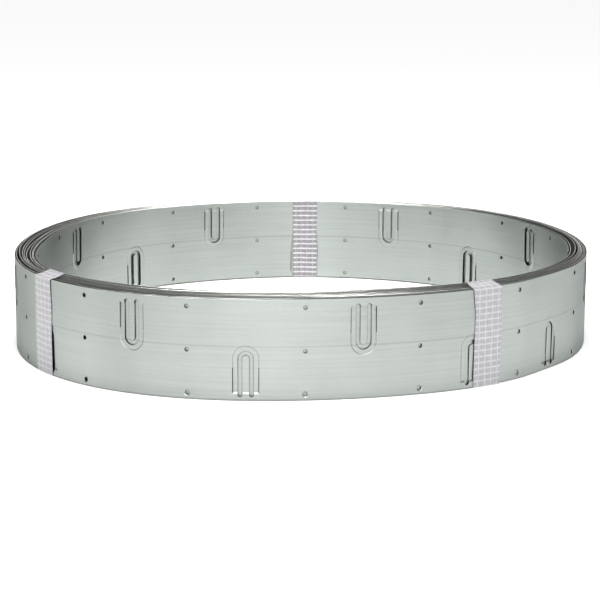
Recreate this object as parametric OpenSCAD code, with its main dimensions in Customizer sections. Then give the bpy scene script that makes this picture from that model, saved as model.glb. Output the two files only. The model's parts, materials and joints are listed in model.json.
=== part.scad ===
// Coil of pierced, zinc-coated steel strip, tied in three places with
// thread-reinforced packing tape. It stands on the edges of its turns, so
// its eye is upright. Azimuths start at the front (-Y) and grow towards +X.

/* [Coil] */
// Outside diameter, over the outer turn
coil_od = 644; // [400:4:1200]
// Diameter of the eye, inside the inner turn
eye_d = 600; // [300:4:1120]
// Number of turns of strip across the wall
turns = 10; // [4:1:14]
// Depth of the gaps between the turns at each end of the coil
gap_depth = 3; // [1:0.5:6]
// How much higher each turn stands than the turn outside it
turn_rise = 0.5; // [0:0.05:0.6]

/* [Strip] */
// Width of the strip, which is the height of each turn
strip_w = 100; // [80:1:200]
// Thickness of the strip
strip_t = 0.7; // [0.5:0.1:1.5]

// How far the middle of the punched pattern lies below the middle of the strip
punch_drop = 0.8; // [0:0.1:2]

/* [Nail holes] */
// Diameter of a nail hole
hole_d = 5; // [3:0.5:8]
// Distance from an edge of the strip to the nearest row of holes, if the
// pattern were in the middle
hole_edge = 7; // [6:0.5:15]
// Distance along the strip from one column of three holes to the next
column_pitch = 118; // [80:1:160]
// Azimuth of the column that is nearest the outer end of the strip
outer_first = 21.9; // [0:0.1:60]
// Azimuth of the column that is nearest the inner end of the strip
inner_first = 101.2; // [60:0.1:180]
// Angle left without columns where the outer turn laps over the next
outer_lap = 20; // [10:1:30]
// Angle left without columns at the inner end of the strip
inner_lap = 30; // [10:1:40]

/* [Lugs] */
// Width of the pressed pad around a lug
pad_w = 27; // [16:0.5:40]
// Distance from the strip's edge to the straight end of the pad, if the
// pattern were in the middle
pad_edge = 7.5; // [5:0.5:15]
// Height of the pad, from its straight end to the top of its round end
pad_h = 48.5; // [30:0.5:80]
// Depth of the pad below the face of the strip
pad_sink = 0.5; // [0.2:0.1:0.8]
// Width of the U-shaped slot over both its legs
slot_w = 16.4; // [10:0.2:30]
// Width of the tongue between the legs of the slot
tongue_w = 6.6; // [3:0.2:12]
// How far the legs of the slot run on past the straight end of the pad
slot_past = 3; // [0:0.5:6]

/* [Tape ties] */
// Width of a tie, along the coil
tape_w = 33; // [15:1:60]
// Thickness of a tie
tape_t = 0.4; // [0.2:0.1:1]
// Azimuth of the tie at the back
tie_back_at = 179; // [150:1:210]
// Azimuth of the tie at the front left
tie_left_at = -51.5; // [-90:0.5:-20]
// Azimuth of the tie at the front right
tie_right_at = 36.5; // [20:0.5:90]

/* [Hidden] */
$fn = 128;
coil_r = coil_od / 2;
eye_r = eye_d / 2;
turn_pitch = (coil_r - eye_r - strip_t) / (turns - 1); // from turn to turn
rise = turn_rise * (turns - 1);     // inner turn above the outer turn
outer_z = tape_t;                   // foot of the outer turn, on the ties
inner_z = tape_t + rise;            // foot of the inner turn
outer_punch = outer_z - punch_drop; // foot of the pattern, outer turn
inner_punch = inner_z - punch_drop; // foot of the pattern, inner turn
outer_step = column_pitch / coil_r * 180 / PI; // between columns, outer turn
inner_step = column_pitch / eye_r * 180 / PI;  // between columns, inner turn
outer_columns = floor((360 - outer_lap) / outer_step) + 1;
inner_columns = floor((360 - inner_lap) / inner_step) + 1;
hole_rows = [hole_edge, strip_w / 2, strip_w - hole_edge];
slot_leg = (slot_w - tongue_w) / 2; // width of one leg of the slot
pad_round = pad_edge + pad_h - pad_w / 2; // centre of the round end
clear = 1;                          // how far a cut runs on past a face
steel = [0.76, 0.78, 0.77];
tape = [0.93, 0.92, 0.94];

// The wall of the coil cut through: each turn is one thickness of strip, and
// between two turns the wall stops short at both ends, which leaves the gaps.
module coil_section() {
    for (i = [0:turns - 1])
        translate([coil_r - i * turn_pitch - strip_t, outer_z + i * turn_rise])
            square([strip_t, strip_w]);
    for (i = [0:turns - 2])
        translate([coil_r - (i + 1) * turn_pitch - strip_t / 2,
                   outer_z + i * turn_rise + gap_depth])
            square([turn_pitch, strip_w - 2 * gap_depth]);
}

// Outline of the pad, with the strip's edge at y = 0.
module pad_outline() {
    translate([-pad_w / 2, pad_edge])
        square([pad_w, pad_round - pad_edge]);
    translate([0, pad_round])
        circle(d = pad_w);
}

// U-shaped slot that leaves the tongue. Its legs have round ends.
module slot_outline() {
    leg_x = (tongue_w + slot_leg) / 2;
    leg_end = pad_edge - slot_past + slot_leg / 2;
    for (side = [-1, 1]) {
        translate([side * leg_x - slot_leg / 2, leg_end])
            square([slot_leg, pad_round - leg_end]);
        translate([side * leg_x, leg_end])
            circle(d = slot_leg);
    }
    difference() {
        translate([0, pad_round])
            circle(d = slot_w);
        translate([0, pad_round])
            circle(d = tongue_w);
        translate([-slot_w, pad_round - slot_w])
            square([2 * slot_w, slot_w]);
    }
}

// Radial prism with the outline of its children, which stand at a given
// azimuth and run from radius r0 to radius r1. The strip's foot is at z0.
// An upper lug has its straight end at the top edge of the strip.
module at_wall(azimuth, r0, r1, z0, upper) {
    rotate([0, 0, azimuth])
        translate([0, -r0, upper ? z0 + strip_w : z0])
            mirror([0, 0, upper ? 1 : 0])
                rotate([90, 0, 0])
                    linear_extrude(r1 - r0)
                        children();
}

// Thin ring between two radii, over the full height of a strip.
module ring(r0, r1, z0) {
    translate([0, 0, z0])
        difference() {
            cylinder(r = r1, h = strip_w);
            translate([0, 0, -clear])
                cylinder(r = r0, h = strip_w + 2 * clear);
        }
}

// Three nail holes, one above another, through one thickness of strip.
module hole_column(azimuth, r0, r1, z0) {
    for (row = hole_rows)
        rotate([0, 0, azimuth])
            translate([0, -r0, z0 + row])
                rotate([90, 0, 0])
                    cylinder(d = hole_d, h = r1 - r0);
}

// Everything that is punched and pressed into the face of the outer turn.
module outer_piercing() {
    for (k = [0:outer_columns - 1])
        hole_column(outer_first - k * outer_step,
                    coil_r - strip_t, coil_r + clear, outer_punch);
    intersection() {
        ring(coil_r - pad_sink, coil_r + clear, outer_z);
        for (k = [0:outer_columns - 1])
            at_wall(outer_first - (k - 0.5) * outer_step,
                    coil_r - 3 * clear, coil_r + 2 * clear,
                    outer_punch, k % 2 == 1)
                pad_outline();
    }
    intersection() {
        ring(coil_r - pad_sink - strip_t, coil_r + clear, outer_z);
        for (k = [0:outer_columns - 1])
            at_wall(outer_first - (k - 0.5) * outer_step,
                    coil_r - 3 * clear, coil_r + 2 * clear,
                    outer_punch, k % 2 == 1)
                slot_outline();
    }
}

// The same in the face of the inner turn, which faces the eye.
module inner_piercing() {
    for (k = [0:inner_columns - 1])
        hole_column(inner_first + k * inner_step,
                    eye_r - clear, eye_r + strip_t, inner_punch);
    intersection() {
        ring(eye_r - clear, eye_r + pad_sink, inner_z);
        for (k = [0:inner_columns - 2])
            at_wall(inner_first + (k + 0.5) * inner_step,
                    eye_r - 2 * clear, eye_r + 3 * clear,
                    inner_punch, k % 2 == 0)
                pad_outline();
    }
    intersection() {
        ring(eye_r - clear, eye_r + pad_sink + strip_t, inner_z);
        for (k = [0:inner_columns - 2])
            at_wall(inner_first + (k + 0.5) * inner_step,
                    eye_r - 2 * clear, eye_r + 3 * clear,
                    inner_punch, k % 2 == 0)
                slot_outline();
    }
}

// The wound strip: one turned solid with its eye.
module strip_coil() {
    color(steel)
        difference() {
            rotate_extrude()
                coil_section();
            outer_piercing();
            inner_piercing();
        }
}

// A tie is a closed loop of tape round the wall of the coil. It lies against
// the foot and the top of every turn, so it slopes as the turns do.
module tie_section() {
    foot = outer_z;
    head = outer_z + strip_w;
    difference() {
        polygon([[eye_r - tape_t, foot + rise - tape_t],
                 [coil_r - strip_t, foot - tape_t],
                 [coil_r + tape_t, foot - tape_t],
                 [coil_r + tape_t, head + tape_t],
                 [eye_r + strip_t, head + rise + tape_t],
                 [eye_r - tape_t, head + rise + tape_t]]);
        polygon([[eye_r, foot + rise],
                 [eye_r + strip_t, foot + rise],
                 [coil_r - strip_t, foot],
                 [coil_r, foot],
                 [coil_r, head],
                 [eye_r + strip_t, head + rise],
                 [eye_r, head + rise]]);
    }
}

// One tie, centred on an azimuth.
module tape_tie(azimuth) {
    span = tape_w / coil_r * 180 / PI;
    color(tape)
        rotate([0, 0, azimuth - 90 - span / 2])
            rotate_extrude(angle = span)
                tie_section();
}

strip_coil();
tape_tie(tie_back_at);  // tape_tie_back
tape_tie(tie_left_at);  // tape_tie_left
tape_tie(tie_right_at);  // tape_tie_right
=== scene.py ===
# %% [markdown]
# # A coil of pierced steel strip
# The real object is one long, thin strip of zinc-coated steel. It is punched
# with nail holes and pressed with lugs, wound into a wide, open coil, and tied
# in three places with thread-reinforced tape. The frame from the CAD step has
# every size that matters, so the first cell loads it and keeps its box.

# %% The frame
import json
import math
import random

import bpy
import bmesh
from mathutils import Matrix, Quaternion, Vector


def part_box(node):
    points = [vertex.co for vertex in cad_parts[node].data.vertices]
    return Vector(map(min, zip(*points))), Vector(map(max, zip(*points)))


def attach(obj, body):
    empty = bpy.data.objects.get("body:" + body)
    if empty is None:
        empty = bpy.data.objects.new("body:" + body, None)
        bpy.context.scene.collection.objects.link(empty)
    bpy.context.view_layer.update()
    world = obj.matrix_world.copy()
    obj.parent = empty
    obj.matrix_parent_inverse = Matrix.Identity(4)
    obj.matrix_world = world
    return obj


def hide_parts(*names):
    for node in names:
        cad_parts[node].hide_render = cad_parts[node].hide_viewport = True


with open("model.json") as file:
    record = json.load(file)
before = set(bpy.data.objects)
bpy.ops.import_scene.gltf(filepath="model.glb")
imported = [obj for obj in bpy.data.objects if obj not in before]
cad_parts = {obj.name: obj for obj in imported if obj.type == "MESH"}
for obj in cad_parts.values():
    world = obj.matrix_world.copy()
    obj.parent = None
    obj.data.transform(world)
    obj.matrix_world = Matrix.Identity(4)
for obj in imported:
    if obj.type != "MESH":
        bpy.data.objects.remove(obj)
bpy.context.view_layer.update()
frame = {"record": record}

# %% [markdown]
# ## Sizes
# The coil's radius and the strip's foot come from the CAD node's box, the
# eye's radius and the rows of holes from the record's mounts. What the CAD
# leaves out, such as how far the coil is out of round, is stated here.

# %% Sizes, in metres
MM = 0.001
MERGE = 1e-6              # points closer than this are one point
NEAR = 1e-5               # slack when picking parts by where they are
coil_lo, coil_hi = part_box("strip_coil")
mounts = {m["name"]: m for m in frame["record"]["mounts"]}
COIL_R = coil_hi.x
EYE_R = mounts["eye"]["dims"]["r_mm"] * MM
FOOT = coil_lo.z
STRIP_W = mounts["eye"]["dims"]["length_mm"] * MM
STRIP_T = mounts["nail_hole_centre_top"]["dims"]["length_mm"] * MM
HOLE_R = mounts["nail_hole_centre_top"]["dims"]["r_mm"] * MM
HOLE_ROWS = [mounts["nail_hole_centre_" + row]["pos_m"][2] - FOOT
             for row in ("bottom", "middle", "top")]
PITCH = 118 * MM          # from one column of holes to the next
TURNS = 10
print("radius", COIL_R, "eye", EYE_R, "foot", FOOT, "rows", HOLE_ROWS)

# %% [markdown]
# ## Helpers for working by hand in code
# A Blender operator acts on what is selected. So one helper makes a single
# object the selected and active one, one applies a modifier, and one picks
# vertices, edges or faces in edit mode by where they are.

# %% Helpers
def only(*objects):
    """Selects these objects and nothing else; the first is the active one."""
    bpy.ops.object.select_all(action="DESELECT")
    for obj in objects:
        obj.select_set(True)
    bpy.context.view_layer.objects.active = objects[0]


def modify(obj, kind, **settings):
    """Adds one modifier and applies it at once."""
    only(obj)
    bpy.ops.object.modifier_add(type=kind)
    modifier = obj.modifiers[-1]
    for name, value in settings.items():
        setattr(modifier, name, value)
    bpy.ops.object.modifier_apply(modifier=modifier.name)


def cut(obj, tool, operation="DIFFERENCE"):
    """A boolean with a tool that isn't needed again afterwards."""
    modify(obj, "BOOLEAN", operation=operation, object=tool, solver="EXACT")
    bpy.data.objects.remove(tool)


def pick(obj, kind, test):
    """Starts edit mode and selects the verts, edges or faces that pass a test
    of (middle, element). Returns how many there are."""
    only(obj)
    bpy.ops.object.mode_set(mode="EDIT")
    mode = {"verts": "VERT", "edges": "EDGE", "faces": "FACE"}[kind]
    bpy.ops.mesh.select_mode(type=mode)
    bpy.ops.mesh.select_all(action="DESELECT")
    mesh = bmesh.from_edit_mesh(obj.data)
    count = 0
    for part in getattr(mesh, kind):
        if kind == "verts":
            middle = part.co
        elif kind == "edges":
            middle = (part.verts[0].co + part.verts[1].co) / 2
        else:
            middle = part.calc_center_median()
        if test(middle, part):
            part.select_set(True)
            count += 1
    mesh.select_flush_mode()
    bmesh.update_edit_mesh(obj.data)
    return count


def done():
    bpy.ops.object.mode_set(mode="OBJECT")


def copy_of(obj, name):
    """A copy with its own mesh."""
    only(obj)
    bpy.ops.object.duplicate(linked=False)
    twin = bpy.context.object
    twin.name = name
    return twin


# %% [markdown]
# ## The blank
# Strip comes off a roll flat, is punched and pressed flat, and is wound at the
# end. The model is made in the same order. The blank is one pitch of flat
# strip. Its outer face looks along -Y, and x runs along the strip. Bisect
# cuts it crosswise, so that it can bend later, and once along a faint crease
# just above mid-height, where the upper half leans in by a few tenths.

# %% One pitch of flat strip
CREASE_Z = 53.5 * MM
CREASE_LEAN = 0.45 * MM


def slice_across(obj, places, normal):
    """Bisects the whole mesh at each place along a normal."""
    for place in places:
        only(obj)
        bpy.ops.object.mode_set(mode="EDIT")
        bpy.ops.mesh.select_all(action="SELECT")
        bpy.ops.mesh.bisect(plane_co=[place * n for n in normal],
                            plane_no=normal)
        done()


def make_blank(name):
    bpy.ops.object.select_all(action="DESELECT")
    bpy.ops.mesh.primitive_cube_add(
        size=1, location=(PITCH / 2, STRIP_T / 2, STRIP_W / 2),
        scale=(PITCH, STRIP_T, STRIP_W))
    blank = bpy.context.object
    blank.name = name
    bpy.ops.object.transform_apply()
    return blank


def open_ends(obj):
    """Deletes the end faces, because the strip runs on there."""
    pick(obj, "faces", lambda c, f: abs(f.normal.x) > 0.9
         and min(abs(c.x), abs(c.x - PITCH)) < MERGE)
    bpy.ops.mesh.delete(type="FACE")
    done()


# %% [markdown]
# ## Tools for the press
# A pad is a long press mark with one straight end and one round end. As a tool
# it is a shallow cone with its lower half pulled down to the straight end.
# The slot is the outline of a U: a long round-ended block, less a smaller one.

# %% Press tools
PAD_W, PAD_SINK = 27 * MM, 0.45 * MM
PAD_END, PAD_TOP = 6.5 * MM, 55 * MM
PAD_SLOPE, END_SLOPE = 0.8 * MM, 2.0 * MM
PAD_TILT = math.atan2(0.6, 46)     # the pad is deepest at its straight end
SLOT_W, TONGUE_W, SLOT_END = 16.4 * MM, 6.6 * MM, 3.6 * MM
PAD_MID = PAD_TOP - PAD_W / 2      # centre of the round end
HOLE_SHARE, LUG_SHARE = 0.25, 0.75
HOLE_X, LUG_X = HOLE_SHARE * PITCH, LUG_SHARE * PITCH
THROUGH = 12 * MM                  # length of a tool that goes right through
STAND_OFF = 0.02 * MM              # keeps faces of tool and strip apart


def stretched(obj, straight, only_if=lambda c: True):
    """Pulls the lower half of an upright disc down to a straight end."""
    pick(obj, "verts", lambda c, v: c.z < PAD_MID - NEAR and only_if(c))
    bpy.ops.transform.resize(value=(1, 1, 0), center_override=(0, 0, straight))
    done()


def press_tool(name, y):
    """The pad as a solid. Its wide side is at y and it is PAD_SINK deep."""
    bpy.ops.object.select_all(action="DESELECT")
    bpy.ops.mesh.primitive_cone_add(
        vertices=48, radius1=PAD_W / 2, radius2=PAD_W / 2 - PAD_SLOPE,
        depth=PAD_SINK, rotation=(-math.pi / 2, 0, 0),
        location=(LUG_X, y + PAD_SINK / 2, PAD_MID))
    tool = bpy.context.object
    tool.name = name
    bpy.ops.object.transform_apply()
    stretched(tool, PAD_END, lambda c: c.y < y + PAD_SINK / 2)
    stretched(tool, PAD_END + END_SLOPE, lambda c: c.y > y + PAD_SINK / 2)
    pick(tool, "verts", lambda c, v: c.y > y + PAD_SINK / 2)
    bpy.ops.transform.rotate(
        value=-PAD_TILT, orient_axis="X",
        center_override=(0, y + PAD_SINK, PAD_TOP))
    done()
    print(name, "tool, deepest:", round((max(
        v.co.y for v in tool.data.vertices) - y) / MM, 2), "mm")
    return tool


def slug(name, width, end):
    """A long block with a round top, right through the strip."""
    bpy.ops.object.select_all(action="DESELECT")
    bpy.ops.mesh.primitive_cylinder_add(
        vertices=40, radius=width / 2, depth=THROUGH,
        rotation=(math.pi / 2, 0, 0), location=(LUG_X, 0, PAD_MID))
    tool = bpy.context.object
    tool.name = name
    bpy.ops.object.transform_apply()
    stretched(tool, end)
    return tool


def peg(x, z, radius, depth=THROUGH):
    """A round tool, for a nail hole or the round end of a slot."""
    bpy.ops.object.select_all(action="DESELECT")
    bpy.ops.mesh.primitive_cylinder_add(
        vertices=20, radius=radius, depth=depth,
        rotation=(math.pi / 2, 0, 0), location=(x, 0, z))
    tool = bpy.context.object
    bpy.ops.object.transform_apply()
    return tool


def slot_tool():
    """The U as a solid: a slug less a smaller slug, with two round ends. The
    ends are a little slimmer and shorter, so that no faces coincide."""
    leg = (SLOT_W - TONGUE_W) / 2
    below = 5 * MM
    slimmer, shorter = 0.01 * MM, 1 * MM
    slot = slug("slot_tool", SLOT_W, SLOT_END + leg / 2)
    cut(slot, slug("tongue_tool", TONGUE_W, SLOT_END - below))
    for side in (-1, 1):
        x = LUG_X + side * (TONGUE_W + leg) / 2
        end = peg(x, SLOT_END + leg / 2, leg / 2 - slimmer, THROUGH - shorter)
        cut(slot, end, "UNION")
    return slot


DISH_DEPTH = 0.6 * MM


def rim_tool(z):
    """The shallow dish that a punch leaves round a hole."""
    bpy.ops.object.select_all(action="DESELECT")
    bpy.ops.mesh.primitive_cone_add(
        vertices=20, radius1=HOLE_R + 1.1 * MM, radius2=HOLE_R - 0.4 * MM,
        depth=DISH_DEPTH, rotation=(-math.pi / 2, 0, 0),
        location=(HOLE_X, DISH_DEPTH / 2 - STAND_OFF, z))
    tool = bpy.context.object
    bpy.ops.object.transform_apply()
    return tool


# %% [markdown]
# ## Two pierced tiles
# A tile is a blank with one column of holes and one lug. Each lug is the other
# way up from the last, so there are two tiles. The pad is first added behind
# the strip and then taken away in front, which leaves one thickness of steel
# all through it, as in a press.

# %% Pierced tiles
LEVELS = [z * MM for z in (32.5, 38.5, 44.5, 53.5, 59.5, 65.5)]
HOLE_BURR = 0.2 * MM      # how much the steel closes in behind the punch
SLICES, PLAIN_SLICES = 18, 8   # steps that one pitch is bent in


def flip_lug(tool):
    """Turns a lug tool upside down about the middle of the rows of holes."""
    only(tool)
    bpy.ops.transform.mirror(
        orient_type="GLOBAL", constraint_axis=(False, False, True),
        center_override=(LUG_X, 0, HOLE_ROWS[1]))
    bpy.ops.object.transform_apply()
    bpy.ops.object.mode_set(mode="EDIT")
    bpy.ops.mesh.select_all(action="SELECT")
    bpy.ops.mesh.normals_make_consistent(inside=False)
    done()
    return tool


def pierced_tile(name, upper):
    tile = make_blank(name)
    turned = flip_lug if upper else (lambda tool: tool)
    cut(tile, turned(press_tool("bulge", STRIP_T - STAND_OFF)), "UNION")
    cut(tile, turned(press_tool("dent", -STAND_OFF)))
    cut(tile, turned(slot_tool()))
    for z in HOLE_ROWS:
        cut(tile, rim_tool(z))
        cut(tile, peg(HOLE_X, z, HOLE_R - HOLE_BURR))
    slice_across(tile, [PITCH * i / SLICES for i in range(1, SLICES)],
                 (1, 0, 0))
    slice_across(tile, LEVELS, (0, 0, 1))
    open_ends(tile)
    print(name, len(tile.data.vertices), "points")
    return tile


tile_low = pierced_tile("tile_low", False)
tile_high = pierced_tile("tile_high", True)
plain = make_blank("tile_plain")
slice_across(plain, [PITCH * i / PLAIN_SLICES for i in range(1, PLAIN_SLICES)],
             (1, 0, 0))
slice_across(plain, LEVELS, (0, 0, 1))
open_ends(plain)

# %% [markdown]
# ## The shape of the coil from above
# A coil that is tied in three places isn't round: it is pulled in near the
# ties and bulges between them. The outline is a circle with three gentle
# waves, and the wall is thin at the ties and loose between them. Angles start
# at the front, -Y, and grow towards +X.

# %% Outline, wall and rise
# Waves of the outline: how many to a turn, how high, and where one crests.
WAVES = ((2, 6.7 * MM, -53.7), (3, 4.0 * MM, -42.5), (4, 4.6 * MM, -40.6))
MEAN_R = COIL_R - 0.8 * MM
TIES = {"back": 179.0, "left": -51.5, "right": 36.5}
# Tables of (angle, millimetres): the wall's thickness, the gap outside the
# innermost turn, and the gap inside the outer turn.
WALL = ((-150, 30), (-120, 29.5), (-92, 30), (-51.5, 17), (-35, 21),
        (-10, 20), (15, 18.5), (36.5, 16.5), (62, 18.5), (90, 21.5),
        (120, 27.5), (150, 29), (179, 25))
INNER_GAP = ((-165, 0.9), (-140, 1.4), (-112, 3.0), (-90, 3.6), (-51.5, 0.9),
             (-33, 6.0), (-5, 3.0), (15, 1.2), (36.5, 0.8), (60, 1.0),
             (100, 2.4), (120, 2.2), (145, 1.2), (179, 0.8))
OUTER_GAP = ((-120, 1.1), (-62, 1.1), (-45, 4.0), (-34, 1.1), (42, 1.1),
             (54, 5.0), (70, 1.6), (120, 1.1))
TIGHT_GAP = 0.12 * MM     # between turns that lie close
OUTER_END = 38.5          # angle of the strip's outer end, under a tie
INNER_END = 76.0          # angle of the strip's inner end
RISE = coil_hi.z - FOOT - STRIP_W  # the inner turn stands this much higher
RISE_MEAN, RISE_TILT = 0.62, 0.38  # the rise is full in front and less behind
random.seed(11)
LOOSE = [[(random.uniform(0.2, 0.6), k, random.uniform(0, 360))
          for k in (1, 2, 3)] for _ in range(TURNS)]


def outline(angle):
    """Radius of the outer face of the outer turn."""
    return MEAN_R + sum(a * math.cos(math.radians(n * (angle - crest)))
                        for n, a, crest in WAVES)


def eased(table, angle):
    """A value in mm, eased from one stated angle to the next, in metres."""
    angle = (angle + 180) % 360 - 180
    knots = [(table[-1][0] - 360, table[-1][1]), *table,
             (table[0][0] + 360, table[0][1])]
    for (a, start), (b, end) in zip(knots, knots[1:]):
        if a <= angle <= b:
            ease = (1 - math.cos(math.pi * (angle - a) / (b - a))) / 2
            return (start + (end - start) * ease) * MM


def turn_steps(angle):
    """From each turn to the next inner one, measured towards the eye. The
    slack that the wall has left is shared out unevenly, so that the loose
    turns lie in groups, as they do in a real coil."""
    tight = STRIP_T + TIGHT_GAP
    first = STRIP_T + eased(OUTER_GAP, angle)
    last = STRIP_T + eased(INNER_GAP, angle)
    loose = TURNS - 3
    slack = eased(WALL, angle) - STRIP_T - first - last - loose * tight
    shares = [max(0.1, 1 + sum(a * math.sin(math.radians(k * angle + start))
                               for a, k, start in LOOSE[j])) ** 3
              for j in range(loose)]
    total = sum(shares)
    steps = [tight + max(0, slack) * s / total for s in shares]
    return [first, *steps, last, last]


LAP = 0.2                 # share of a turn in which a turn steps in by one


def strip_place(angle):
    """Place of the strip's outer face. The angle runs on through the turns and
    ends at OUTER_END."""
    back = (OUTER_END - angle) / 360
    turn = int(back)
    late = max(0.0, (back - turn - 1 + LAP) / LAP)
    step_in = late * late * (3 - 2 * late)
    steps = turn_steps(angle)
    inward = sum(steps[:turn]) + step_in * steps[min(turn, TURNS - 1)]
    rise = RISE * min(1, (turn + step_in) / (TURNS - 1))
    rise *= RISE_MEAN + RISE_TILT * math.cos(math.radians(angle))
    r = outline(angle) - inward
    a = math.radians(angle)
    return Vector((r * math.sin(a), -r * math.cos(a), FOOT + rise))


first = INNER_END - 360 * TURNS
angles = [first + i for i in range(int(OUTER_END - first) + 1)]
angles.append(OUTER_END)
places = [strip_place(a) for a in angles]
lengths = [0.0]
for a, b in zip(places, places[1:]):
    lengths.append(lengths[-1] + (b - a).length)
print("strip length, m:", round(lengths[-1], 2))


def along(angle):
    """Distance along the strip at an angle of the wound coil."""
    i = min(int(angle - first), len(angles) - 2)
    share = (angle - angles[i]) / (angles[i + 1] - angles[i])
    return lengths[i] + share * (lengths[i + 1] - lengths[i])


# %% [markdown]
# ## Laying out the flat strip
# Only the outer turn and the inner turn show their faces, so they get pierced
# tiles, and the turns between them get plain ones. Each tile is moved to its
# place along the strip, stretched by a percent or two to keep its column of
# holes where the real one is, and its lug's tip is bent by its own amount.

# %% Columns of holes, as angles
FRONT = [22.2, 0.9, -19.7, -39.6, -59.3]
RIGHT_END = [65.0 - 360, 44.5 - 360]   # the last two before the strip's end
HIDDEN_STEPS = 11                      # from the front ones round the back
hidden = (FRONT[-1] - RIGHT_END[0]) / HIDDEN_STEPS
outer_columns = FRONT + [FRONT[-1] - hidden * i
                         for i in range(1, HIDDEN_STEPS + 1)]
outer_columns.append(RIGHT_END[1])
BACK = [101.8, 123.8, 146.1, 168.5, 191.2, 214.2, 237.1, 260.2]
INNER_STEP = 22.9                      # where the inner face isn't seen
inner_columns = BACK + [BACK[-1] + INNER_STEP * i for i in range(1, 8)]
print("hidden columns are", round(hidden, 2), "degrees apart")


def edges_of(columns):
    """The angles where one tile ends and the next begins, in rising order."""
    columns = sorted(columns)
    steps = [b - a for a, b in zip(columns, columns[1:])]
    edges = [columns[0] - steps[0] * HOLE_SHARE]
    edges += [a + s * LUG_SHARE for a, s in zip(columns, steps)]
    edges.append(columns[-1] + steps[-1] * LUG_SHARE)
    return edges


outer_edges = edges_of(outer_columns)
outer_edges[-1] = OUTER_END
inner_edges = [a - 360 * TURNS for a in edges_of(inner_columns)]
print("outer tiles:", len(outer_edges) - 1, "inner:", len(inner_edges) - 1)


# %% Tiles in their places along the strip
def lay(tile, name, start, end, copies=1):
    """Copies a tile, repeats it, and fits it between two distances."""
    run = copy_of(tile, name)
    if copies > 1:
        modify(run, "ARRAY", count=copies, use_relative_offset=False,
               use_constant_offset=True,
               constant_offset_displace=(PITCH, 0, 0),
               use_merge_vertices=True, merge_threshold=MERGE)
    run.scale.x = (end - start) / (PITCH * copies)
    run.location.x = start
    only(run)
    bpy.ops.object.transform_apply()
    return run


TIP_ZONES = ((-4 * MM, 0.25), (2 * MM, 0.75))  # from here up, this share


def bend_tip(tile, upper, push, twist):
    """Bends the free end of the lug's tongue in, and turns it a little."""
    middle = 2 * HOLE_ROWS[1] - PAD_MID if upper else PAD_MID
    size = tile.dimensions.x / PITCH
    x = min(v.co.x for v in tile.data.vertices) + LUG_X * size
    half = TONGUE_W / 2 + 0.3 * MM
    sign = -1 if upper else 1
    for low, amount in TIP_ZONES:
        pick(tile, "verts", lambda c, v: abs(c.x - x) < half
             and low < sign * (c.z - middle) < TONGUE_W)
        bpy.ops.transform.translate(value=(0, push * amount, 0))
        bpy.ops.transform.rotate(value=twist * amount, orient_axis="Z",
                                 center_override=(x, 0, middle))
        done()


runs = []
random.seed(5)
for edges, label in ((outer_edges, "outer"), (inner_edges, "inner")):
    last = len(edges) - 2
    for i in range(last + 1):
        place = last - i if label == "outer" else i
        upper = place % 2 == (1 if label == "outer" else 0)
        run = lay(tile_high if upper else tile_low, f"{label}_{i}",
                  along(edges[i]), along(edges[i + 1]))
        bend_tip(run, upper, random.uniform(0.1, 0.9) * MM,
                 math.radians(random.uniform(-5, 5)))
        runs.append(run)
for name, start, end in (("end", 0.0, along(inner_edges[0])),
                         ("middle", along(inner_edges[-1]),
                          along(outer_edges[0]))):
    runs.append(lay(plain, name, start, end,
                    max(1, round((end - start) / PITCH))))
for tool in (tile_low, tile_high, plain):
    bpy.data.objects.remove(tool)

# %% [markdown]
# ## Joining and winding
# The tiles become one strip when they are joined and their doubles are merged.
# The crease leans the upper half in. Before the strip is wound, each point
# writes down its place on the flat strip, so that rolling streaks can follow
# the steel round the coil. Then a Curve modifier winds the strip on its path.

# %% One flat strip
only(*runs)
bpy.ops.object.join()
strip = bpy.context.object
strip.name = "pierced_strip"
pick(strip, "verts", lambda c, v: True)
bpy.ops.mesh.remove_doubles(threshold=MERGE)
bpy.ops.mesh.select_all(action="DESELECT")
done()
for end in (0.0, lengths[-1]):
    pick(strip, "edges", lambda c, e: e.is_boundary and abs(c.x - end) < NEAR)
    bpy.ops.mesh.edge_face_add()
    done()
mesh = strip.data
for v in mesh.vertices:
    over = max(0.0, v.co.z - CREASE_Z) / (STRIP_W - CREASE_Z)
    v.co.y += CREASE_LEAN * over


def write_flat_place(obj):
    flat = obj.data.attributes.new("flat_place", "FLOAT_VECTOR", "POINT")
    co = [0.0] * (3 * len(obj.data.vertices))
    obj.data.vertices.foreach_get("co", co)
    flat.data.foreach_set("vector", co)


write_flat_place(strip)
# The places of three materials on the strip: 0 is the zinc-coated face.
RIM, WALL_OF_CUT = 1, 2
for f in mesh.polygons:
    at_edge = min(f.center.z, STRIP_W - f.center.z) < NEAR
    if at_edge and abs(f.normal.z) > 0.9:
        f.material_index = RIM
    elif abs(f.normal.y) < 0.7:
        f.material_index = WALL_OF_CUT
print("faces per material:", [sum(f.material_index == i for f in mesh.polygons)
                              for i in range(3)])
print("flat strip:", len(mesh.vertices), "points,",
      len(mesh.polygons), "faces")


# %% Winding
def poly_path(name, points):
    """A path of straight steps through these points."""
    bpy.ops.object.select_all(action="DESELECT")
    bpy.ops.curve.primitive_nurbs_path_add()
    path = bpy.context.object
    path.name = name
    path.data.twist_mode = "Z_UP"
    path.data.splines.clear()
    spline = path.data.splines.new("POLY")
    spline.points.add(len(points) - 1)
    for place, p in zip(spline.points, points):
        place.co = (*p, 1)
    return path


winding = poly_path("winding", places)
modify(strip, "CURVE", object=winding, deform_axis="POS_X")
bpy.data.objects.remove(winding)
print("wound box, mm:", [round(v * 1000, 1) for v in
                         (*strip.bound_box[0], *strip.bound_box[6])])

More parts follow.
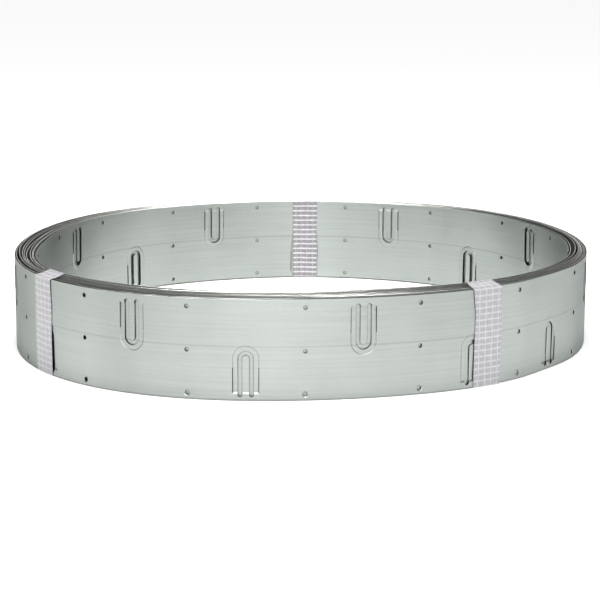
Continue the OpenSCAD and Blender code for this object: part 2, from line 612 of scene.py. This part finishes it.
# %% [markdown]
# ## Ties
# Each tie is a length of tape, wound once round the wall of the coil. It could
# be a swept section, but a real tape is a flat ribbon, so the model starts as
# a flat grid too. One Curve modifier winds it round the wall's section, a
# second bends the loop with the outline, and Solidify gives it its thickness.
# The tape lies against the turns, dips a little between them at the top, and
# its edges wander.

# %% Paths for the tape
TAPE_W, TAPE_T = 33 * MM, 0.4 * MM
HUG = 0.15 * MM           # how far the tape lies off the steel
SAG = 0.25 * MM           # how far it dips between two turns at the top
UP = [FOOT + 5 * MM + i * 4 * MM for i in range(23)]   # steps up the wall


def section_path(angle, name, over_lug=0.0):
    """A closed walk round the wall, as seen along the strip: x is up and y is
    towards the eye. Where a lug stands out of the inner face, the tape lifts
    over it."""
    steps = turn_steps(angle)[:TURNS - 1]
    deep = sum(steps) + STRIP_T
    rise = strip_place(angle - 360 * (TURNS - 1)).z - FOOT
    walk = [(FOOT + rise / 2 - 0.1 * MM, deep / 2), (FOOT, 0.3 * MM),
            (FOOT + 0.4 * MM, -HUG)]
    walk += [(z, -HUG + 0.5 * CREASE_LEAN * max(0, (z - CREASE_Z) / STRIP_W))
             for z in UP]
    top = FOOT + STRIP_W + HUG
    walk += [(top - 0.5 * MM, -HUG), (top, 0.2 * MM)]
    y = 0.0
    for j, step in enumerate(steps):
        level = top + rise * (j + 0.5) / (TURNS - 1)
        walk.append((level - SAG, y + step * 0.6))
        y += step
        walk.append((top + rise * (j + 1) / (TURNS - 1), y + STRIP_T / 2))
    inner = deep + HUG
    walk += [(top + rise - 0.5 * MM, inner + CREASE_LEAN)]
    for z in reversed(UP):
        lean = CREASE_LEAN * max(0, (z - CREASE_Z) / STRIP_W)
        lump = min(1, max(0, (PAD_TOP + 7 * MM - z) / (8 * MM)))
        walk.append((z + rise, inner + lean + over_lug * lump))
    walk += [(FOOT + rise + 0.3 * MM, inner),
             (FOOT + rise - 0.1 * MM, deep - 0.3 * MM), walk[0]]
    points = [Vector((z, y, 0)) for z, y in walk]
    size = sum((b - a).length for a, b in zip(points, points[1:]))
    return poly_path(name, points), size


OUTLINE_START = -200      # degrees; it runs a little more than once round


def outline_path():
    """The outer face of the outer turn, and its length at each degree."""
    points = [Vector((outline(a) * math.sin(math.radians(a)),
                      -outline(a) * math.cos(math.radians(a)), 0))
              for a in range(OUTLINE_START, 221)]
    reach = [0.0]
    for a, b in zip(points, points[1:]):
        reach.append(reach[-1] + (b - a).length)
    return poly_path("outline", points), reach


outline_curve, outline_reach = outline_path()


# %% Winding the tape
TAPE_STEPS = (170, 22)    # along the tape and across it
ROUND = 6.28              # a full turn of a wave, in radians


def wandering_edges(tape, size, seed):
    """Moves the two long edges of the flat tape by slow waves. They fade to
    nothing at the ends, which meet."""
    draw = random.Random(seed)
    bends = [(draw.uniform(0.15, 0.6) * MM, draw.uniform(25, 90) * MM,
              draw.uniform(0, ROUND)) for _ in range(4)]
    for v in tape.data.vertices:
        fade = math.sin(math.pi * v.co.x / size)
        side = 1 if v.co.z > 0 else -1
        wander = sum(a * math.sin(v.co.x / w * ROUND + p + side * 0.7 * i)
                     for i, (a, w, p) in enumerate(bends))
        v.co.z += wander * fade * abs(v.co.z) / (TAPE_W / 2)


def tape_tie(name, angle, seed, over_lug=0.0):
    loop, size = section_path(angle, name + "_loop", over_lug)
    bpy.ops.object.select_all(action="DESELECT")
    bpy.ops.mesh.primitive_grid_add(
        x_subdivisions=TAPE_STEPS[0], y_subdivisions=TAPE_STEPS[1], size=1,
        rotation=(math.pi / 2, 0, 0), location=(size / 2, 0, 0))
    tape = bpy.context.object
    tape.name = name
    tape.scale = (size, TAPE_W, 1)
    bpy.ops.object.transform_apply()
    wandering_edges(tape, size, seed)
    write_flat_place(tape)
    modify(tape, "CURVE", object=loop, deform_axis="POS_X")
    bpy.data.objects.remove(loop)
    # The loop lies flat, with x up the wall and z along the strip. Stand it
    # up, take it to its angle, and bend it with the outline.
    only(tape)
    bpy.ops.object.mode_set(mode="EDIT")
    bpy.ops.mesh.select_all(action="SELECT")
    bpy.ops.mesh.remove_doubles(threshold=MERGE)
    bpy.ops.transform.rotate(value=math.pi / 2, orient_axis="Y",
                             center_override=(0, 0, 0))
    step = angle - OUTLINE_START
    share = step - int(step)
    x = (outline_reach[int(step)] * (1 - share)
         + outline_reach[int(step) + 1] * share)
    bpy.ops.transform.translate(value=(x, 0, 0))
    bpy.ops.mesh.normals_make_consistent(inside=False)
    done()
    modify(tape, "CURVE", object=outline_curve, deform_axis="POS_X")
    modify(tape, "SOLIDIFY", thickness=TAPE_T, offset=1)
    only(tape)
    bpy.ops.object.shade_smooth_by_angle(angle=math.radians(40))
    print(name, "box, mm:", [round(v * 1000, 1) for v in
                             (*tape.bound_box[0], *tape.bound_box[6])])
    return tape


OVER_LUG = {"back": 1.1 * MM}   # an inner lug lies under the back tie
ties = {where: tape_tie("tape_" + where, angle, seed,
                        OVER_LUG.get(where, 0.0))
        for seed, (where, angle) in enumerate(TIES.items())}
bpy.data.objects.remove(outline_curve)

# %% [markdown]
# ## Materials
# A colour is given as an sRGB hex value, and Blender's sockets want linear
# light, so one function converts it. One more function adds a node with its
# settings, its values and its links. All patterns read flat_place, the
# place on the flat strip or tape, in metres. Counted in steps of some
# millimetres each way, it gives a noise of scale 1 the grain that is wanted.

# %% Material helpers
def linear(code):
    parts = [int(code[i:i + 2], 16) / 255 for i in (1, 3, 5)]
    return [*(c / 12.92 if c <= 0.04045 else ((c + 0.055) / 1.055) ** 2.4
              for c in parts), 1.0]


def add(tree, kind, inputs=None, **settings):
    """Adds a node. A socket among the inputs is linked, the rest are set."""
    node = tree.nodes.new("ShaderNode" + kind)
    for name, value in settings.items():
        setattr(node, name, value)
    for key, value in (inputs or {}).items():
        if isinstance(value, bpy.types.NodeSocket):
            tree.links.new(value, node.inputs[key])
        else:
            node.inputs[key].default_value = value
    return node


def new_material(name):
    material = bpy.data.materials.new(name)
    material.use_nodes = True
    tree = material.node_tree
    shader = tree.nodes["Principled BSDF"]
    return material, tree, shader


def steps_of(x, y, z):
    """What turns metres into steps of x, y and z millimetres."""
    return (1000 / x, 1000 / y, 1000 / z)


print("zinc grey as linear light:", [round(c, 3) for c in linear("#a5aaa6")])

# %% [markdown]
# ## Hot-dip zinc on rolled steel
# The zinc gives a satin, slightly greenish grey. Rolling leaves long, faint
# streaks, a few millimetres high, and a crease runs just above mid-height. The
# strip isn't quite flat, so its sheen shifts in soft patches along the coil. A
# rough metal reflects less at a glancing angle, which the specular tint sets.
# Where the steel is shut in, in a slot, in a hole or between two turns, it
# lies in shade, so an occlusion node finds such places and darkens the colour
# there: painted shade. A thin band along the crease is darkened too, also
# painted shade.

# %% Zinc-coated steel
# Each pattern's name, its step along, through and across the strip in
# millimetres, and the settings of its noise.
STEEL_NOISE = (("streak", (150, 50, 2.6), {"Detail": 5.0, "Roughness": 0.6}),
               ("grain", (5, 50, 1.2), {"Detail": 2.0}),
               ("patch", (90, 50, 160), {"Detail": 2.0}),
               ("wave", (60, 50, 90), {}))


def zinc_coated_steel():
    material, tree, shader = new_material("zinc_coated_steel")
    place = add(tree, "Attribute",
                attribute_name="flat_place").outputs["Vector"]
    noise = {}
    for name, step, settings in STEEL_NOISE:
        grid = add(tree, "VectorMath", {0: place, 1: steps_of(*step)},
                   operation="MULTIPLY").outputs[0]
        noise[name] = add(tree, "TexNoise", {
            "Vector": grid, "Scale": 1.0, **settings}).outputs["Fac"]
    height = add(tree, "SeparateXYZ", {0: place}).outputs["Z"]
    off_crease = add(tree, "Math", {0: height, 1: CREASE_Z},
                     operation="SUBTRACT").outputs[0]
    off_crease = add(tree, "Math", {0: off_crease},
                     operation="ABSOLUTE").outputs[0]
    # Painted shade: the occlusion node darkens the colour where the steel is
    # shut in.
    near = add(tree, "AmbientOcclusion", {"Distance": 2.6 * MM},
               samples=8).outputs["AO"]
    shade = None
    for value, low, high, dark, light in (
            (noise["streak"], 0.36, 0.64, 0.93, 1.04),
            (noise["patch"], 0.3, 0.7, 0.93, 1.05),
            (noise["grain"], 0.3, 0.7, 0.975, 1.025),
            # Painted shade: a thin band along the crease is darker.
            (off_crease, 0.1 * MM, 1.2 * MM, 0.84, 1.0),
            # Painted shade from the occlusion node, darkest in the deepest
            # places.
            (near, 0.35, 0.95, 0.1, 1.0)):
        factor = add(tree, "MapRange", {
            "Value": value, "From Min": low, "From Max": high,
            "To Min": dark, "To Max": light}).outputs[0]
        if shade is not None:
            factor = add(tree, "Math", {0: shade, 1: factor},
                         operation="MULTIPLY").outputs[0]
        shade = factor
    colour = add(tree, "VectorMath", {0: linear("#a5aaa6")[:3], 3: shade},
                 operation="SCALE")
    tree.links.new(colour.outputs[0], shader.inputs["Base Color"])
    rough = add(tree, "MapRange", {
        "Value": noise["streak"], "From Min": 0.3, "From Max": 0.7,
        "To Min": 0.36, "To Max": 0.46}).outputs[0]
    tree.links.new(rough, shader.inputs["Roughness"])
    shader.inputs["Metallic"].default_value = 1.0
    shader.inputs["Specular Tint"].default_value = linear("#9a9a9a")
    waves = add(tree, "Bump", {
        "Height": noise["wave"], "Distance": 0.5 * MM, "Strength": 1.0})
    rolled = add(tree, "Bump", {
        "Height": noise["streak"], "Distance": 0.018 * MM, "Strength": 1.0,
        "Normal": waves.outputs[0]})
    tree.links.new(rolled.outputs[0], shader.inputs["Normal"])
    print(material.name, len(tree.nodes), "nodes")
    return material


# %% [markdown]
# ## Sheared edges
# The edges of the strip, its slots and its holes were sheared after the zinc
# was on, so they show bare steel with a fine sheen. The long edges are rubbed
# bright, and the walls of the cuts are darker, partly as bare steel and partly
# as painted shade for the shade that falls in the cuts. Both were picked on
# the flat strip, and kept their slots when it was wound. The edges of the
# inner turn
# lie in the shade of their neighbours, so their colour is darkened there too:
# painted shade.

# %% Sheared edges
# Painted shade on the inner turn's edges fades out over this run.
SHADED_INNER_RUN = (1.6, 1.9)    # metres from the inner end, where dull turns bright


def sheared_edge_with_shade(name, code, rough):
    material, tree, shader = new_material(name)
    place = add(tree, "Attribute",
                attribute_name="flat_place").outputs["Vector"]
    grid = add(tree, "VectorMath", {0: place, 1: steps_of(14, 50, 3)},
               operation="MULTIPLY").outputs[0]
    drag = add(tree, "TexNoise", {
        "Vector": grid, "Scale": 1.0, "Detail": 3.0}).outputs["Fac"]
    tone_and_painted_shade = add(tree, "MapRange", {
        "Value": drag, "From Min": 0.35, "From Max": 0.65,
        "To Min": 0.7, "To Max": 1.15}).outputs[0]
    run = add(tree, "SeparateXYZ", {0: place}).outputs["X"]
    # Painted shade: the edges of the inner turn are darker, and the darkening
    # fades out over a run from the inner end.
    inner = add(tree, "MapRange", {
        "Value": run, "From Min": SHADED_INNER_RUN[0], "From Max": SHADED_INNER_RUN[1],
        "To Min": 0.45, "To Max": 1.0}).outputs[0]
    tone_and_painted_shade = add(tree, "Math", {0: tone_and_painted_shade, 1: inner},
               operation="MULTIPLY").outputs[0]
    colour = add(tree, "VectorMath", {0: linear(code)[:3], 3: tone_and_painted_shade},
                 operation="SCALE")
    tree.links.new(colour.outputs[0], shader.inputs["Base Color"])
    shader.inputs["Metallic"].default_value = 1.0
    shader.inputs["Roughness"].default_value = rough
    print(material.name, len(tree.nodes), "nodes")
    return material


strip.data.materials.append(zinc_coated_steel())
strip.data.materials.append(
    sheared_edge_with_shade("sheared_steel_edge", "#d4d2ce", 0.32))
# The walls of the cuts are dark partly as bare steel and partly as painted
# shade for the shade in the cuts.
strip.data.materials.append(
    sheared_edge_with_shade("punched_steel_edge", "#4c4a48", 0.35))
only(strip)
bpy.ops.object.shade_smooth_by_angle(angle=math.radians(12))

# %% [markdown]
# ## Thread-reinforced tape
# The tape is a milky film over a net of glass threads. A bright rib runs
# across it every 6.2 mm, dotted by the fine threads along it, 2.2 mm apart,
# and some stronger threads run along it every 7.9 mm. A wave texture of scale
# 1 repeats every tenth of pi, so the scale for a period in millimetres is 100
# pi over it. The back tie shows its inner side, where the film is duller and
# the ribs stand out more.

# %% Filament tape
NET = (("rib", 6.2, "X", 0.68, 0.92), ("dot", 2.2, "Z", 0.25, 0.75),
       ("warp", 7.9, "Z", 0.9, 1.0))


def filament_tape(name, ground, thread, warp_share):
    material, tree, shader = new_material(name)
    place = add(tree, "Attribute",
                attribute_name="flat_place").outputs["Vector"]
    grid = add(tree, "VectorMath", {0: place, 1: steps_of(40, 40, 14)},
               operation="MULTIPLY").outputs[0]
    shake = add(tree, "TexNoise", {
        "Vector": grid, "Scale": 1.0}).outputs["Color"]
    shake = add(tree, "VectorMath", {0: shake, 3: 1.2 * MM},
                operation="SCALE").outputs[0]
    woven = add(tree, "VectorMath", {0: place, 1: shake},
                operation="ADD").outputs[0]
    line = {}
    for part, period, direction, low, high in NET:
        wave = add(tree, "TexWave", {
            "Vector": woven, "Scale": 100 * math.pi / period,
            "Distortion": 0.0}, bands_direction=direction)
        line[part] = add(tree, "MapRange", {
            "Value": wave.outputs["Fac"], "From Min": low,
            "From Max": high}).outputs[0]
    dotted = add(tree, "MapRange", {
        "Value": line["dot"], "To Min": 0.3, "To Max": 1.0}).outputs[0]
    ribs = add(tree, "Math", {0: line["rib"], 1: dotted},
               operation="MULTIPLY").outputs[0]
    warp = add(tree, "Math", {0: line["warp"], 1: warp_share},
               operation="MULTIPLY").outputs[0]
    net = add(tree, "Math", {0: ribs, 1: warp},
              operation="MAXIMUM").outputs[0]
    grid = add(tree, "VectorMath", {0: place, 1: steps_of(7, 7, 5)},
               operation="MULTIPLY").outputs[0]
    cloud = add(tree, "TexNoise", {
        "Vector": grid, "Scale": 1.0, "Detail": 3.0}).outputs["Fac"]
    milky = add(tree, "MapRange", {
        "Value": cloud, "From Min": 0.35, "From Max": 0.65,
        "To Min": 0.65, "To Max": 1.0}).outputs[0]
    bright = add(tree, "Math", {0: net, 1: milky},
                 operation="MULTIPLY").outputs[0]
    film = linear(ground)[:3]
    mottled = add(tree, "Mix", {
        "Factor": cloud, 6: [c * 0.8 for c in film] + [1],
        7: [c * 1.2 for c in film] + [1]}, data_type="RGBA")
    colour = add(tree, "Mix", {
        "Factor": bright, 6: mottled.outputs[2], 7: linear(thread)},
        data_type="RGBA")
    tree.links.new(colour.outputs[2], shader.inputs["Base Color"])
    shader.inputs["Roughness"].default_value = 0.38
    relief = add(tree, "Bump", {
        "Height": net, "Distance": 0.2 * MM, "Strength": 1.0})
    tree.links.new(relief.outputs[0], shader.inputs["Normal"])
    print(material.name, len(tree.nodes), "nodes")
    return material


outside_tape = filament_tape("filament_tape", "#929194", "#bdbcbf", 0.7)
inside_tape = filament_tape("filament_tape_inside", "#7d7a7e", "#e3e2e4", 0.2)
for where, tape in ties.items():
    tape.data.materials.append(
        inside_tape if where == "back" else outside_tape)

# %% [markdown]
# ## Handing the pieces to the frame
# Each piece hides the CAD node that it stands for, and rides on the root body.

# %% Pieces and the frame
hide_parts("strip_coil")
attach(strip, "root")
for where, tape in ties.items():
    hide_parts("tape_tie_" + where)
    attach(tape, "root")

# %% [markdown]
# ## Stage, light and camera
# A metal looks like what it reflects, so the light is broad and soft: a pale,
# bright floor, a grey overcast all round, a wide lamp in front, one overhead
# and a very soft sun. A small lamp above the eye lights the floor in it, which
# the inner turn mirrors, and one behind lights the edges of the turns.

# %% Floor
bpy.ops.object.select_all(action="DESELECT")
bpy.ops.mesh.primitive_plane_add(size=80)
floor = bpy.context.object
floor.name = "floor"
floor_paint, _, floor_shader = new_material("floor_paint")
floor_shader.inputs["Base Color"].default_value = linear("#fcfcfc")
floor_shader.inputs["Emission Color"].default_value = linear("#ffffff")
floor_shader.inputs["Emission Strength"].default_value = 0.08
floor_shader.inputs["Roughness"].default_value = 0.9
floor.data.materials.append(floor_paint)
print("floor, m:", floor.dimensions.x)

# %% Light
world = bpy.data.worlds.new("studio")
world.use_nodes = True
bpy.context.scene.world = world
sky = world.node_tree.nodes["Background"]
sky.inputs["Color"].default_value = (1, 1, 1, 1)
sky.inputs["Strength"].default_value = 0.44


def lamp(name, size, power, place, target=(0, 0, 0.05)):
    """A rectangular lamp that looks at a target. The camera doesn't see it."""
    bpy.ops.object.light_add(type="AREA", location=place)
    obj = bpy.context.object
    obj.name = name
    obj.data.shape = "RECTANGLE"
    obj.data.size, obj.data.size_y = size
    obj.data.energy = power
    obj.rotation_euler = (Vector(target) - Vector(place)).to_track_quat(
        "-Z", "Y").to_euler()
    obj.visible_camera = False
    print(name, power, "W")


lamp("front", (3.0, 3.0), 66, (0.1, -4.0, 1.6))
lamp("overhead", (2.4, 1.6), 20, (0.0, -1.0, 2.4))
lamp("eye_light", (0.5, 0.4), 11, (-0.05, 0.08, 1.3), (-0.05, 0.08, 0))
lamp("rim_light", (0.6, 0.5), 36, (-0.05, 2.5, 0.85))
bpy.ops.object.light_add(type="SUN", location=(0, -1, 3))
sun = bpy.context.object
sun.name = "soft_sun"
sun.data.energy = 1.8
sun.data.angle = math.radians(70)
sun.rotation_euler = (math.radians(35), 0, 0)

# %% Camera
LENS = 103.96             # mm, on a 36 mm sensor
DISTANCE = 1.976          # m, from the middle of the coil
ELEVATION = 11.68         # degrees above it
ROLL = 0.0045             # radians
AIM_BELOW = 17.6 * MM     # the camera looks this far below the middle
centre = Vector((0, 0, 50.4 * MM))
e = math.radians(ELEVATION)
bpy.ops.object.camera_add(
    location=centre + DISTANCE * Vector((0, -math.cos(e), math.sin(e))))
camera = bpy.context.object
aim = centre - Vector((0, 0, AIM_BELOW))
camera.rotation_mode = "QUATERNION"
look = (aim - camera.location).to_track_quat("-Z", "Y")
camera.rotation_quaternion = look @ Quaternion((0, 0, 1), ROLL)
bpy.ops.object.select_all(action="DESELECT")
camera.data.lens = LENS
camera.data.sensor_width = 36
bpy.context.scene.camera = camera
bpy.context.scene.view_settings.view_transform = "Standard"
print("camera at", [round(v, 3) for v in camera.location])

# %% Size of the visual model
print("triangles:", {o.name: sum(len(f.vertices) - 2 for f in o.data.polygons)
                     for o in (strip, *ties.values())})
